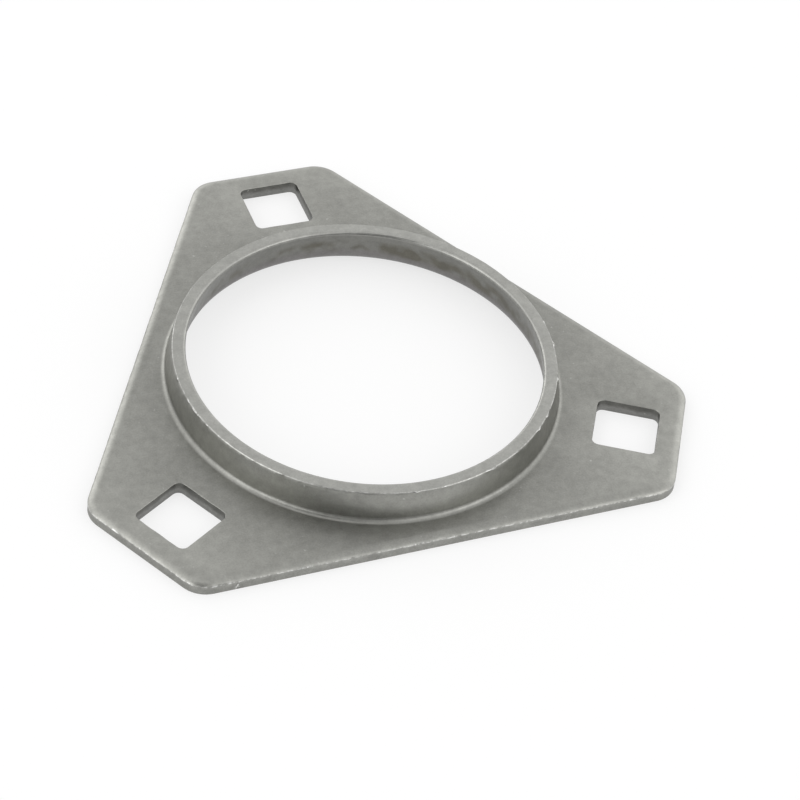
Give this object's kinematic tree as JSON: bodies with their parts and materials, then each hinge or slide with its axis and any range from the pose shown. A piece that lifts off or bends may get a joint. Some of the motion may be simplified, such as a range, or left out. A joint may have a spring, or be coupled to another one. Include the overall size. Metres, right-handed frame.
{
  "type": "pressed steel bearing housing half",
  "caption": "Triangular pressed steel flange half with a drawn collar that seats a spherical-ring bearing, and square bolt holes near its corners.",
  "frame": {"origin": "on the bore axis in the mating face, which is the centre of the spherical bearing seat", "axes": "+Z along the bore axis, from the mating face towards the collar's rim; +Y through the centre of one square bolt hole"},
  "size_m": [0.0886, 0.0779, 0.0067],
  "materials": {
    "steel": "bare grey steel as pressed and tumbled, satin, faintly mottled, with thin bright sheared edges"
  },
  "bodies": {
    "root": {"pressed_flange": "steel"}
  },
  "joints": []
}
